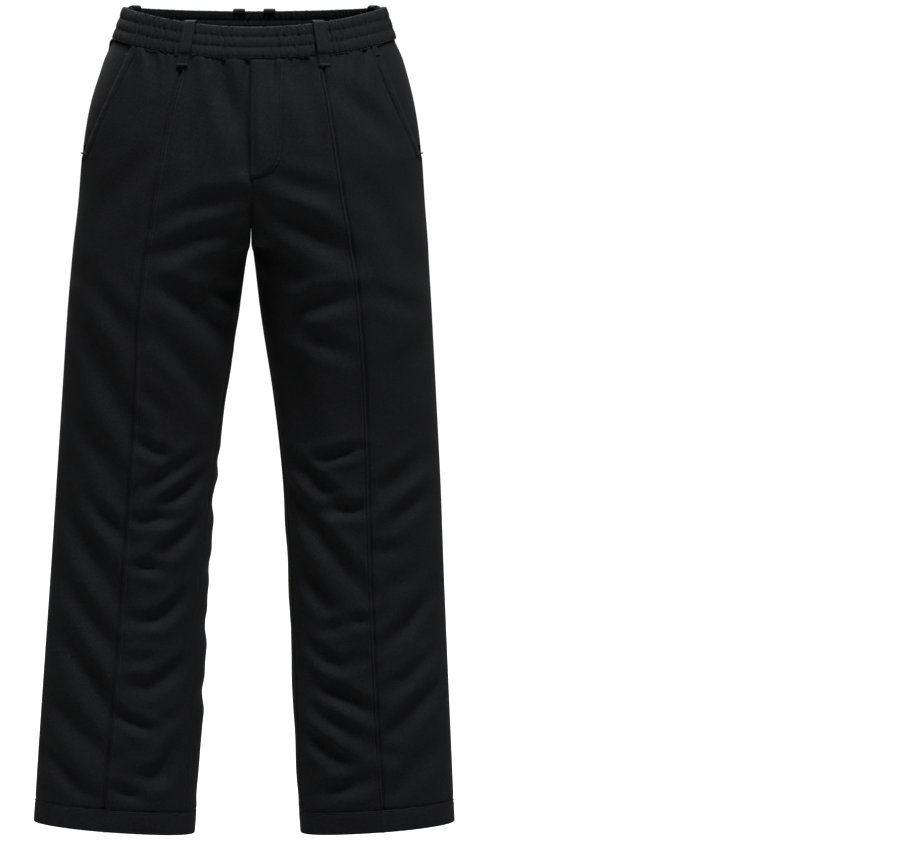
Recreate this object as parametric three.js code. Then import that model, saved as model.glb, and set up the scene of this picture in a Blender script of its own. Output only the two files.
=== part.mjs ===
// Knit chino trousers, filled out and held up at the waist, in mm.
// X runs across the garment, the front faces -Y and +Z is up. Right and left are the
// wearer's, so the right leg is on the -X side. The origin is on the axis of the waist,
// level with the middle of the waistband at the sides.
import * as THREE from "three";

// Driving dimensions
const clothWall = 1.6;
const seamGap = 0.3;
const crotchLevel = -278;
const hemLevel = -1017;
const hemHeight = 28.5;
const hemWall = 2.8;
const hemSlope = 0.074; // rise of the hem from inseam to side seam
const hipPower = 2.4; // fullness of the oval section of the seat
const legPower = 2.2; // fullness of the oval section of a leg
const frontFork = 90; // height over which the front closes towards the crotch
const backFork = 130;

const bandTop = 20;
const bandSeam = -20;
const bandDipFront = 24; // fall of the top edge at the centre front
const bandDipBack = 5;
const seamDipFront = 23; // fall of the waist seam at the centre front
const bandColumns = 80;
const bandRuffle = 0.4;

const creaseHeight = 2;
const creaseHalfWidth = 2;
const creaseStart = -60;

const pocketTop = { level: -38, x: 156 };
const pocketFoot = { level: -164, x: 212 };
const weltWidth = 8;
const weltLift = 0.5;
const facingSink = 3.6; // how far the facing lies under the front panel
const facingUnder = 18; // how far it reaches under it, from the opening edge
const facingFoot = -151;

const loopWidth = 15;
const loopWall = 1.6;
const loopGap = 7.8; // room for a belt between waistband and loop
const loopRise = 4; // how far a loop stands above the waistband

const laidGap = 0.55; // gap under a piece that lies on a panel
const laidWall = 1.5;

// Half sections of the garment: side and inseam edge, front and back depth, sideways
// hang of the whole garment and how much the inseams differ between the legs.
const sections = [
  { z: 24, outer: 161, inner: 0, front: 103, back: 105, sway: 3, skew: 0 },
  { z: -20, outer: 176, inner: 0, front: 112, back: 114, sway: 2.5, skew: 0 },
  { z: -44, outer: 186, inner: 0, front: 116, back: 122, sway: 2, skew: 0 },
  { z: -95, outer: 201.6, inner: 0, front: 122, back: 134, sway: 0.6, skew: 0 },
  { z: -150, outer: 211, inner: 0, front: 124, back: 141, sway: 0, skew: 0 },
  { z: -227, outer: 217.4, inner: 0, front: 118, back: 136, sway: -0.6, skew: 0 },
  { z: -278, outer: 222.6, inner: 0.8, front: 109, back: 124, sway: -1.6, skew: 0 },
  { z: -284, outer: 223, inner: 2.8, front: 108, back: 122, sway: -1.8, skew: 0 },
  { z: -302, outer: 224.4, inner: 5.7, front: 105, back: 118, sway: -2.2, skew: 0 },
  { z: -359, outer: 228.7, inner: 13.2, front: 96, back: 104, sway: -3, skew: 0.3 },
  { z: -472, outer: 235.6, inner: 30.9, front: 78, back: 84, sway: -3.6, skew: 0.8 },
  { z: -586, outer: 242.6, inner: 43.5, front: 64, back: 70, sway: -4.4, skew: 1.2 },
  { z: -699, outer: 248.9, inner: 50.4, front: 55, back: 62, sway: -6, skew: 1.8 },
  { z: -813, outer: 255.8, inner: 55.4, front: 50, back: 58, sway: -7.6, skew: 2.6 },
  { z: -926, outer: 262.7, inner: 61.1, front: 47, back: 54, sway: -9, skew: 3.4 },
  { z: -1022, outer: 268.2, inner: 67, front: 45, back: 52, sway: -10, skew: 4.5 },
];

// Angle of the sewn front crease round each leg, in degrees from the side seam.
const creaseLine = [
  { z: -40, right: 97, left: 98.5 },
  { z: -116, right: 91.4, left: 94.8 },
  { z: -198, right: 85.8, left: 90 },
  { z: -282, right: 82.2, left: 84.2 },
  { z: -374, right: 82.4, left: 83 },
  { z: -485, right: 86, left: 85 },
  { z: -602, right: 87, left: 88 },
  { z: -768, right: 85.9, left: 88.4 },
  { z: -1020, right: 83.6, left: 86.6 },
];

// Angle of the inseam, which turns a little to the front below the crotch.
const inseamLine = [
  { z: crotchLevel, right: 180, left: 180 },
  { z: -400, right: 170, left: 174 },
  { z: -595, right: 158, left: 166 },
  { z: -690, right: 151, left: 162 },
  { z: -1020, right: 149.5, left: 162 },
];

// Edge of the fly, from the waist seam to its curved foot.
const flyEdge = [
  { z: -44, edge: 36.5 },
  { z: -100, edge: 37 },
  { z: -137, edge: 37 },
  { z: -159, edge: 35 },
  { z: -172, edge: 30 },
  { z: -181, edge: 20 },
  { z: -186, edge: 8 },
  { z: -188, edge: 2 },
];
const flyLap = -3.5;

// The largest folds: troughs from one point to another, seen square to the panel.
const folds = [
  { face: "front", x1: -114, z1: -294, x2: -25, z2: -341, width: 16, depth: 4 },
  { face: "front", x1: 16, z1: -227, x2: 119, z2: -286, width: 18, depth: 4 },
  { face: "front", x1: -221, z1: -320, x2: -151, z2: -460, width: 20, depth: 4 },
  { face: "front", x1: 42, z1: -600, x2: 110, z2: -664, width: 18, depth: 3.5 },
  { face: "front", x1: -240, z1: -600, x2: -165, z2: -725, width: 20, depth: 3.5 },
  { face: "front", x1: 68, z1: -835, x2: 140, z2: -866, width: 18, depth: 3.5 },
  { face: "front", x1: 172, z1: -900, x2: 238, z2: -830, width: 18, depth: 3.5 },
  { face: "front", x1: -245, z1: -775, x2: -178, z2: -876, width: 18, depth: 3.5 },
  { face: "back", x1: 57, z1: -186, x2: 101, z2: -246, width: 20, depth: 4 },
  { face: "back", x1: 190, z1: -290, x2: 97, z2: -419, width: 20, depth: 4 },
  { face: "back", x1: -18, z1: -330, x2: -125, z2: -371, width: 18, depth: 4 },
  { face: "back", x1: -54, z1: -606, x2: -117, z2: -665, width: 18, depth: 3.5 },
  { face: "back", x1: 178, z1: -521, x2: 116, z2: -562, width: 18, depth: 3.5 },
  { face: "back", x1: 156, z1: -850, x2: 86, z2: -835, width: 18, depth: 3.5 },
  { face: "back", x1: -77, z1: -858, x2: -139, z2: -909, width: 18, depth: 3.5 },
  { face: "back", x1: 215, z1: -769, x2: 141, z2: -920, width: 18, depth: 3.5 },
];

const cloth = { color: 0x17181a, roughness: 0.92, metalness: 0 };
const trim = { color: 0x1c1d1f, roughness: 0.9, metalness: 0 };

const garment = new THREE.Group();

// Smooth value of one column of a table, rows from the top down.
function along(table, column, z) {
  const below = table.findIndex((row) => row.z < z);
  const last = table.length - 1;
  const next = below < 0 ? last : Math.max(below, 1);
  const from = table[next - 1];
  const to = table[next];
  const before = table[Math.max(next - 2, 0)];
  const after = table[Math.min(next + 1, last)];
  const span = to.z - from.z;
  const t = THREE.MathUtils.clamp((z - from.z) / span, 0, 1);
  const slopeFrom = (span * (to[column] - before[column])) / (to.z - before.z);
  const slopeTo = (span * (after[column] - from[column])) / (after.z - from.z);
  const rise = 3 * t * t - 2 * t * t * t;
  const leave = t * (1 - t) * (1 - t);
  const arrive = t * t * (t - 1);
  return from[column] * (1 - rise) + to[column] * rise + slopeFrom * leave + slopeTo * arrive;
}

function sideName(side) {
  return side < 0 ? "right" : "left";
}

// A point of the garment's base surface. The angle runs round one side from the side
// seam (0) to the centre seam or inseam (PI), and is negative behind. Above the crotch
// the section is half an oval round both legs, below it is a whole oval round one leg.
function bodyPoint(side, angle, level) {
  const outer = along(sections, "outer", level);
  const inner = along(sections, "inner", level) + side * along(sections, "skew", level);
  const middle = (outer + inner) / 2;
  const reach = (outer - inner) / 2;
  const past = Math.abs(angle) > Math.PI;
  const mirrored = past && level > crotchLevel;
  const inFront = past && !mirrored ? angle < 0 : angle >= 0;
  const depth = along(sections, inFront ? "front" : "back", level);
  const turn = Math.cos(angle);
  const across = (1 + turn) / 2;
  const hipDepth = (1 - across ** hipPower) ** (1 / hipPower);
  const legDepth = (1 - Math.min(Math.abs(turn), 1) ** legPower) ** (1 / legPower);
  const fork = inFront ? frontFork : backFork;
  const rise = THREE.MathUtils.clamp((level - crotchLevel) / fork, 0, 1);
  const seat = Math.sqrt(rise * (2 - rise));
  const x = middle + reach * turn;
  const y = depth * (seat * hipDepth + (1 - seat) * legDepth);
  const lean = THREE.MathUtils.smoothstep(crotchLevel - level, 0, 320);
  return new THREE.Vector3(
    along(sections, "sway", level) + side * (mirrored ? -x : x),
    inFront ? -y : y,
    level + hemSlope * lean * (x - middle),
  );
}

// Unit vector square to the base surface, pointing out.
function outward(side, angle, level) {
  const turnStep = 0.08;
  const levelStep = 4;
  const round = bodyPoint(side, angle + turnStep, level);
  round.sub(bodyPoint(side, angle - turnStep, level));
  const up = bodyPoint(side, angle, level + levelStep);
  up.sub(bodyPoint(side, angle, level - levelStep));
  return round.cross(up).normalize().multiplyScalar(-side);
}

function inseamAngle(side, level) {
  return THREE.MathUtils.degToRad(along(inseamLine, sideName(side), Math.min(level, crotchLevel)));
}

function creaseAngle(side, level) {
  return THREE.MathUtils.degToRad(along(creaseLine, sideName(side), level));
}

// Depth of the folds at a point, faded out towards the seams.
function foldDepth(side, angle, point) {
  const face = angle > 0 ? "front" : "back";
  const toInseam = Math.PI - Math.abs(angle);
  const fade = THREE.MathUtils.smoothstep(Math.min(Math.abs(angle), toInseam), 0.1, 0.7);
  let depth = 0;
  for (const fold of folds.filter((row) => row.face === face)) {
    const run = new THREE.Vector2(fold.x2 - fold.x1, fold.z2 - fold.z1);
    const reach = new THREE.Vector2(point.x - fold.x1, point.z - fold.z1);
    const share = THREE.MathUtils.clamp(reach.dot(run) / run.lengthSq(), 0, 1);
    const distance = reach.addScaledVector(run, -share).length();
    depth += fold.depth * Math.exp(-((distance / fold.width) ** 2));
  }
  return depth * fade;
}

// The panel's surface at one place, moved out by lift.
function skin(side, angle, level, lift) {
  const point = bodyPoint(side, angle, level);
  const out = outward(side, angle, level);
  return point.addScaledVector(out, lift - foldDepth(side, angle, point));
}

// Keeps a point on its own side of the centre seam.
function clearOfCentre(point, side, level) {
  const centre = along(sections, "sway", level);
  const away = Math.max(side * (point.x - centre), seamGap / 2);
  point.x = centre + side * away;
  return point;
}

function addMesh(name, positions, triangles, look) {
  const corner = triangles.map((index) => positions[index]);
  let volume = 0;
  for (let i = 0; i < corner.length; i += 3) {
    volume += corner[i].dot(corner[i + 1].clone().cross(corner[i + 2]));
  }
  const order = volume < 0 ? triangles.slice().reverse() : triangles;
  const geometry = new THREE.BufferGeometry();
  geometry.setFromPoints(positions);
  geometry.setIndex(order);
  geometry.computeVertexNormals();
  const mesh = new THREE.Mesh(geometry, new THREE.MeshStandardMaterial(look));
  mesh.name = name;
  garment.add(mesh);
}

// A wall between two grids of points: pointAt(column, row, layer), layer 0 outside.
function addWall(name, columns, rows, pointAt, look) {
  const positions = [];
  const layerSize = (columns + 1) * (rows + 1);
  for (const layer of [0, 1]) {
    for (let row = 0; row <= rows; row++) {
      for (let column = 0; column <= columns; column++) {
        positions.push(pointAt(column, row, layer));
      }
    }
  }
  const at = (column, row, layer) => layer * layerSize + row * (columns + 1) + column;
  const triangles = [];
  const addQuad = (a, b, c, d) => triangles.push(a, b, c, a, c, d);
  for (let row = 0; row < rows; row++) {
    for (let column = 0; column < columns; column++) {
      const [c, r] = [column + 1, row + 1];
      addQuad(at(column, row, 0), at(c, row, 0), at(c, r, 0), at(column, r, 0));
      addQuad(at(column, r, 1), at(c, r, 1), at(c, row, 1), at(column, row, 1));
    }
    addQuad(at(0, row, 1), at(0, row, 0), at(0, row + 1, 0), at(0, row + 1, 1));
    addQuad(at(columns, row + 1, 1), at(columns, row + 1, 0), at(columns, row, 0), at(columns, row, 1));
  }
  for (let column = 0; column < columns; column++) {
    addQuad(at(column + 1, 0, 1), at(column + 1, 0, 0), at(column, 0, 0), at(column, 0, 1));
    addQuad(at(column, rows, 1), at(column, rows, 0), at(column + 1, rows, 0), at(column + 1, rows, 1));
  }
  addMesh(name, positions, triangles, look);
}

// A closed profile carried round a closed ring: pointAt(step round, step of profile).
function addRing(name, steps, profileSteps, pointAt, look) {
  const positions = [];
  const triangles = [];
  for (let step = 0; step < steps; step++) {
    for (let k = 0; k < profileSteps; k++) {
      positions.push(pointAt(step, k));
      const next = ((step + 1) % steps) * profileSteps;
      const here = step * profileSteps;
      const k2 = (k + 1) % profileSteps;
      triangles.push(here + k, next + k, next + k2, here + k, next + k2, here + k2);
    }
  }
  addMesh(name, positions, triangles, look);
}

// Level of the waist seam for a place that is this share of the half width from the centre.
function waistSeam(inFront, across) {
  return inFront ? bandSeam - seamDipFront * (1 - across ** 2) : bandSeam;
}

function frontSeamAt(x) {
  const outer = along(sections, "outer", bandSeam - seamDipFront / 4);
  return waistSeam(true, Math.min(x / outer, 1)) - seamGap / 2;
}

function angleAt(x, level) {
  const outer = along(sections, "outer", level);
  return Math.acos(2 * Math.min(Math.abs(x) / outer, 1) - 1);
}

function pocketEdge(level) {
  const share = (level - pocketTop.level) / (pocketFoot.level - pocketTop.level);
  return pocketTop.x + share * (pocketFoot.x - pocketTop.x);
}

// Levels of a panel's rows under the waist seam. Two are close together at the foot of
// the pocket, where the front panel's edge steps out to the side seam.
const pocketLevels = [-58, -84, -111, -138];
const pocketStep = [pocketFoot.level, pocketFoot.level - seamGap];
const seatLevels = [-196, -225, -249, -265, -274, crotchLevel];
const legLevels = [-284, -300, -338, -400, -475, -556, -640, -724, -808, -892];
const panelFoot = hemLevel + hemHeight + seamGap;
const panelLevels = [...pocketLevels, ...pocketStep, ...seatLevels, ...legLevels, panelFoot];

function addPanel(name, side, face) {
  const sign = face === "front" ? 1 : -1;
  const half = 5; // columns on each side of the crease
  const columns = 2 * half + 2;
  const angleOf = (column, level) => {
    const inseam = inseamAngle(side, level);
    const end = face === "front" ? inseam : 2 * Math.PI - inseam;
    const open = face === "front" && level >= pocketFoot.level;
    const start = open ? angleAt(pocketEdge(level) - weltWidth, level) : 0;
    const middle = face === "front" ? creaseAngle(side, level) : end / 2;
    const beside = face === "front" ? (2 * creaseHalfWidth) / along(sections, "outer", -44) : 0.15;
    if (column <= half) return start + ((middle - beside - start) * column) / half;
    if (column === half + 1) return middle;
    return middle + beside + ((end - middle - beside) * (column - half - 2)) / half;
  };
  const seamOf = (column) => {
    const across = (1 + Math.cos(angleOf(column, bandSeam - seamDipFront / 2))) / 2;
    return waistSeam(face === "front", across) - seamGap / 2;
  };
  const pointAt = (column, row, layer) => {
    const level = row === 0 ? seamOf(column) : panelLevels[row - 1];
    const angle = sign * angleOf(column, level);
    const ridged = face === "front" && column === half + 1 && level < creaseStart;
    const inset = -layer * clothWall;
    const point = skin(side, angle, level, inset + (ridged ? creaseHeight : 0));
    if (column === 0 || column === columns) {
      const turn = column === 0 ? 0.15 : -0.15;
      const pull = skin(side, angle + turn * sign, level, inset).sub(point).normalize();
      point.addScaledVector(pull, seamGap / 2);
    }
    return clearOfCentre(point, side, level);
  };
  addWall(name, columns, panelLevels.length, pointAt, cloth);
}

// The facing that fills the slant pocket, sunk under the front panel's edge.
function addHipFacing(side) {
  const spots = [0, 0.3, 0.65, 1]; // share of the way from the side seam to the opening
  const levels = [...pocketLevels, facingFoot];
  const pointAt = (column, row, layer) => {
    const under = column === spots.length;
    const share = under ? 1 : spots[column];
    const placeAt = (level) => {
      const outer = along(sections, "outer", level);
      return outer + share * (pocketEdge(level) + 1 - outer) - (under ? facingUnder : 0);
    };
    const level = row === 0 ? frontSeamAt(placeAt(bandSeam)) : levels[row - 1];
    const inset = -facingSink * Math.sqrt(share) - layer * clothWall;
    const point = skin(side, angleAt(placeAt(level), level), level, inset);
    point.y -= column === 0 ? seamGap / 2 : 0;
    return point;
  };
  addWall(`hip_facing_${sideName(side)}`, spots.length, levels.length, pointAt, cloth);
}

// The turned edge of the slant pocket, between its stitch groove and the opening.
function addPocketWelt(side) {
  const columns = 2;
  const levels = [...pocketLevels, pocketFoot.level + seamGap];
  const pointAt = (column, row, layer) => {
    const from = -weltWidth + seamGap / 2 + ((weltWidth - seamGap) * column) / columns;
    const level = row === 0 ? frontSeamAt(pocketEdge(bandSeam) + from) : levels[row - 1];
    const lift = column === 1 ? weltLift : 0;
    const angle = angleAt(pocketEdge(level) + from, level);
    return skin(side, angle, level, lift - layer * clothWall);
  };
  addWall(`pocket_welt_${sideName(side)}`, columns, levels.length, pointAt, trim);
}

// A cloth piece that lies on the front or back: placeAt(column, row) gives x and level.
function addLaidPiece(name, columns, rows, face, placeAt) {
  const pointAt = (column, row, layer) => {
    const { x, level } = placeAt(column, row);
    const side = x < 0 ? -1 : 1;
    const angle = angleAt(x, level) * (face === "front" ? 1 : -1);
    return skin(side, angle, level, laidGap + (layer === 0 ? laidWall : 0));
  };
  addWall(name, columns, rows, pointAt, trim);
}

function addFly() {
  const columns = 4;
  const levels = [-44, ...pocketLevels, -152, -164, -174, -182, -188];
  const placeAt = (column, row) => {
    const level = levels[row] - seamGap;
    const share = column / columns;
    return { x: flyLap + (along(flyEdge, "edge", level) - flyLap) * share, level };
  };
  addLaidPiece("fly_placket", columns, levels.length - 1, "front", placeAt);
}

function addBackWelt(side) {
  const welt = { inner: 40, outer: 160, top: -83, arch: 4, height: 12 };
  const columns = 8;
  const placeAt = (column, row) => {
    const share = column / columns;
    const arch = welt.arch * 4 * share * (1 - share);
    const x = side * (welt.inner + (welt.outer - welt.inner) * share);
    return { x, level: welt.top + arch - welt.height * row };
  };
  addLaidPiece(`back_welt_${sideName(side)}`, columns, 1, "back", placeAt);
}

// Waistband: drop is the share of its height from the top, lift the distance out.
const bandProfile = [
  { drop: 0.02, lift: 0.8 },
  { drop: 0.17, lift: 1.9 },
  { drop: 0.33, lift: 0.8 },
  { drop: 0.5, lift: 1.9 },
  { drop: 0.67, lift: 0.8 },
  { drop: 0.83, lift: 1.9 },
  { drop: 0.985, lift: 0.6 },
  { drop: 0.985, lift: -1.4 },
  { drop: 0.83, lift: -1.9 },
  { drop: 0.67, lift: -1 },
  { drop: 0.5, lift: -1.9 },
  { drop: 0.33, lift: -1 },
  { drop: 0.17, lift: -1.9 },
  { drop: 0.02, lift: -1 },
];

function bandPlace(theta, drop) {
  const side = Math.cos(theta) < 0 ? -1 : 1;
  const across = Math.abs(Math.cos(theta));
  const inFront = Math.sin(theta) < 0;
  const dip = (1 - across ** 2) * (inFront ? bandDipFront : bandDipBack);
  const top = bandTop - dip;
  const foot = waistSeam(inFront, across) + seamGap / 2;
  const angle = Math.acos(2 * across - 1) * (inFront ? 1 : -1);
  return { side, angle, top, foot, level: top + (foot - top) * drop };
}

function addWaistband() {
  const pointAt = (step, k) => {
    const theta = (2 * Math.PI * (step + 0.5)) / bandColumns;
    const { drop, lift } = bandProfile[k];
    const place = bandPlace(theta, drop);
    const ruffle = bandRuffle * Math.sin(37 * theta);
    const out = outward(place.side, place.angle, place.level);
    return bodyPoint(place.side, place.angle, place.level).addScaledVector(out, lift + ruffle);
  };
  addRing("waistband", bandColumns, bandProfile.length, pointAt, cloth);
}

// A belt loop: a flat strap from behind the waistband, over its top edge, down in front
// of it with room for a belt, to its tack on the panel.
function addBeltLoop(name, theta, foot) {
  const place = bandPlace(theta, 0);
  const out = outward(place.side, place.angle, (place.top + place.foot) / 2);
  out.setZ(0).normalize();
  const sideways = new THREE.Vector3(-out.y, out.x, 0);
  const { top, foot: seam } = place;
  const stand = 1.9 + bandRuffle + loopGap + loopWall / 2;
  const flat = 2 * laidGap + loopWall / 2;
  const route = [
    { z: top - 8, lift: -4.1 },
    { z: top - 1, lift: -4.1 },
    { z: top + loopRise - 1.6, lift: -2.4 },
    { z: top + loopRise - 0.8, lift: 1 },
    { z: top + loopRise - 1.6, lift: stand - 3 },
    { z: top - 0.5, lift: stand - 0.5 },
    { z: (top * 2 + seam) / 3, lift: stand },
    { z: (top + seam * 2) / 3, lift: stand },
    { z: seam + 5, lift: stand - 0.6 },
    { z: seam + 0.5, lift: stand - 3 },
    { z: (seam * 2 + foot) / 3 - 1, lift: flat + 0.8 },
    { z: foot, lift: flat },
  ];
  const centres = route.map(({ z, lift }) => {
    const point = bodyPoint(place.side, place.angle, z).addScaledVector(out, lift);
    return point.setZ(z);
  });
  const pointAt = (column, row, layer) => {
    const ahead = centres[Math.min(row + 1, centres.length - 1)];
    const behind = centres[Math.max(row - 1, 0)];
    const run = ahead.clone().sub(behind).normalize();
    const through = run.clone().cross(sideways).normalize();
    const point = centres[row].clone().addScaledVector(sideways, (column - 0.5) * loopWidth);
    return point.addScaledVector(through, (0.5 - layer) * loopWall);
  };
  addWall(name, 1, route.length - 1, pointAt, trim);
}

function addHem(side) {
  const steps = 36;
  const profile = [
    { rise: hemHeight, layer: 0 },
    { rise: hemHeight / 2, layer: 0 },
    { rise: 0, layer: 0 },
    { rise: 0, layer: 1 },
    { rise: hemHeight, layer: 1 },
  ];
  const pointAt = (step, k) => {
    const angle = (2 * Math.PI * step) / steps - Math.PI;
    const { rise, layer } = profile[k];
    return skin(side, angle, hemLevel + rise, -layer * hemWall);
  };
  addRing(`hem_${sideName(side)}`, steps, profile.length, pointAt, trim);
}

addWaistband();
for (const side of [-1, 1]) {
  addPanel(`front_${sideName(side)}`, side, "front");
  addPanel(`back_${sideName(side)}`, side, "back");
  addHipFacing(side);
  addPocketWelt(side);
  addBackWelt(side);
  addHem(side);
}
addFly();

// Belt loops: share of the half width from the centre, front or back, and foot level.
const beltLoops = [
  { place: "front", across: 0.46, sign: -1, foot: -52 },
  { place: "side", across: 0.92, sign: 1, foot: -36 },
  { place: "back", across: 0.118, sign: 1, foot: -36 },
];
for (const { place, across, sign, foot } of beltLoops) {
  for (const side of [-1, 1]) {
    const theta = sign * Math.acos(side * across);
    addBeltLoop(`belt_loop_${place}_${sideName(side)}`, theta, foot);
  }
}

export default garment;
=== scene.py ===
import bpy
import mathutils
import numpy as np
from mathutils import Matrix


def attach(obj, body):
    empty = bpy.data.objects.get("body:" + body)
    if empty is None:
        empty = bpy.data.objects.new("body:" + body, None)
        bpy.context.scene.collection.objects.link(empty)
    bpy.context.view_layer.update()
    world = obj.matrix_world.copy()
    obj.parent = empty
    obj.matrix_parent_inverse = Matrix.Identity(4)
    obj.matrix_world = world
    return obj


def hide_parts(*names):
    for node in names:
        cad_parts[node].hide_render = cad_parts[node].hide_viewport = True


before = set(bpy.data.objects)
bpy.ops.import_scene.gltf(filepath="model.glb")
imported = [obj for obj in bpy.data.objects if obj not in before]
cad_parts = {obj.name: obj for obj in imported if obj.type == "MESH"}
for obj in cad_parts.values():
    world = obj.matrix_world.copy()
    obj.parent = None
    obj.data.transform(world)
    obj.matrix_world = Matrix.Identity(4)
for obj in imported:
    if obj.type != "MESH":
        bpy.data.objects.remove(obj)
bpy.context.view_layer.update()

print("stage: frame loaded")

# Lengths below are millimetres until a mesh is made. X across, front at -Y, Z up.
# Right and left are the wearer's: side -1 is the right leg, on the -X side.
mm = 0.001

# Half sections from the waist down: side edge, inseam edge, front and back depth,
# sideways hang of the whole garment, and how much the two inseams differ.
cut = {
    "z":      np.array([24, -20, -44, -95, -150, -227, -278, -284,
                        -302, -359, -472, -586, -699, -813, -926, -1022.0]),
    "outer":  np.array([161, 176, 186, 201.6, 211, 217.4, 222.6, 223,
                        224.4, 228.7, 235.6, 242.6, 248.9, 255.8, 262.7, 268.2]),
    "inner":  np.array([0, 0, 0, 0, 0, 0, 0.8, 2.8, 5.7, 13.2, 30.9, 43.5, 50.4, 55.4, 61.1, 67.0]),
    "front":  np.array([103, 112, 116, 122, 124, 118, 109, 108, 105, 96, 78, 64, 55, 50, 47, 45.0]),
    "back":   np.array([105, 114, 122, 134, 141, 136, 124, 122, 118, 104, 84, 70, 62, 58, 54, 52.0]),
    "sway":   np.array([3, 2.5, 2, 0.6, 0, -0.6, -1.6, -1.8, -2.2, -3, -3.6, -4.4, -6, -7.6, -9, -10.0]),
    "skew":   np.array([0, 0, 0, 0, 0, 0, 0, 0, 0, 0.3, 0.8, 1.2, 1.8, 2.6, 3.4, 4.5]),
    "crotch": -278.0, "hem": -1017.0, "hemHigh": 28.5, "hemSlope": 0.074,
    "hipPower": 2.4, "legPower": 2.2, "frontFork": 90.0, "backFork": 130.0,
}

# Angle of the front crease and of the inseam round a leg, in degrees from the side seam.
lines = {
    "creaseZ":     np.array([-40, -116, -198, -282, -374, -485, -602, -768, -1020.0]),
    "creaseRight": np.array([97, 91.4, 85.8, 82.2, 82.4, 86, 87, 85.9, 83.6]),
    "creaseLeft":  np.array([98.5, 94.8, 90, 84.2, 83, 85, 88, 88.4, 86.6]),
    "inseamZ":     np.array([-278, -400, -595, -690, -1020.0]),
    "inseamRight": np.array([180, 170, 158, 151, 149.5]),
    "inseamLeft":  np.array([180, 174, 166, 162, 162.0]),
}


# Smooth step from 0 at a to 1 at b.
def ease(x, a, b):
    t = np.clip((x - a) / (b - a), 0, 1)
    return t * t * (3 - 2 * t)


# Soft bell of height 1 and half width w.
def bell(x, w):
    return np.exp(-(x / w) ** 2)


# Smooth curve through rows that go down in z: cubic pieces whose slope at a row is
# the slope between its two neighbours.
def along(zRows, values, z):
    last = len(zRows) - 1
    to = np.clip(np.searchsorted(-zRows, -z, side="left"), 1, last)
    fro = to - 1
    before = np.maximum(fro - 1, 0)
    after = np.minimum(to + 1, last)
    span = zRows[to] - zRows[fro]
    t = np.clip((z - zRows[fro]) / span, 0, 1)
    leave = span * (values[to] - values[before]) / (zRows[to] - zRows[before])
    arrive = span * (values[after] - values[fro]) / (zRows[after] - zRows[fro])
    rise = 3 * t * t - 2 * t ** 3
    line = values[fro] * (1 - rise) + values[to] * rise
    return line + leave * t * (1 - t) ** 2 + arrive * t * t * (t - 1)


# One column of the sections at height z.
def section(name, z):
    return along(cut["z"], cut[name], z)


# Angles of the crease and of the inseam, in radians, for one leg.
def creaseAngle(side, z):
    return np.radians(along(lines["creaseZ"], lines["creaseRight" if side < 0 else "creaseLeft"], z))


def inseamAngle(side, z):
    z = np.minimum(z, cut["crotch"])
    return np.radians(along(lines["inseamZ"], lines["inseamRight" if side < 0 else "inseamLeft"], z))


# Base surface. The angle runs round one side from the side seam (0) to the centre seam or
# inseam (pi) and is negative behind. Below the crotch the section is an oval round one
# leg, above it half an oval round both, and the two are mixed over the fork's height.
def bodyPoint(side, angle, level):
    side, angle, level = np.broadcast_arrays(np.asarray(side, float), angle, level)
    outer = section("outer", level)
    inner = section("inner", level) + side * section("skew", level)
    middle = (outer + inner) / 2
    reach = (outer - inner) / 2
    past = np.abs(angle) > np.pi
    mirrored = past & (level > cut["crotch"])
    inFront = np.where(past & ~mirrored, angle < 0, angle >= 0)
    depth = np.where(inFront, section("front", level), section("back", level))
    turn = np.cos(angle)
    across = (1 + turn) / 2
    hip = np.maximum(1 - across ** cut["hipPower"], 0) ** (1 / cut["hipPower"])
    leg = np.maximum(1 - np.abs(turn) ** cut["legPower"], 0) ** (1 / cut["legPower"])
    fork = np.where(inFront, cut["frontFork"], cut["backFork"])
    rise = np.clip((level - cut["crotch"]) / fork, 0, 1)
    arch = bell(across, 0.09)
    spread = ease(level, cut["crotch"] - 80, cut["crotch"] + fork)
    seat = arch * np.sqrt(rise * (2 - rise)) + (1 - arch) * spread
    x = middle + reach * turn
    y = depth * (seat * hip + (1 - seat) * leg)
    lean = ease(cut["crotch"] - level, 0, 320)
    return np.stack([
        section("sway", level) + side * np.where(mirrored, -x, x),
        np.where(inFront, -y, y),
        level + cut["hemSlope"] * lean * (x - middle)], axis=-1)


# Unit normal of the base surface, from small steps round it and up it.
def outward(side, angle, level):
    around = bodyPoint(side, angle + 0.08, level) - bodyPoint(side, angle - 0.08, level)
    up = bodyPoint(side, angle, level + 4.0) - bodyPoint(side, angle, level - 4.0)
    n = np.cross(around, up)
    n /= np.linalg.norm(n, axis=-1, keepdims=True) + 1e-12
    return -n * np.broadcast_to(np.asarray(side, float), n.shape[:-1])[..., None]


# Angle whose cosine puts the hip section at a given distance x from the centre.
def angleAt(x, level):
    outer = section("outer", level)
    return np.arccos(2 * np.clip(np.abs(x) / outer, 0, 1) - 1)


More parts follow.
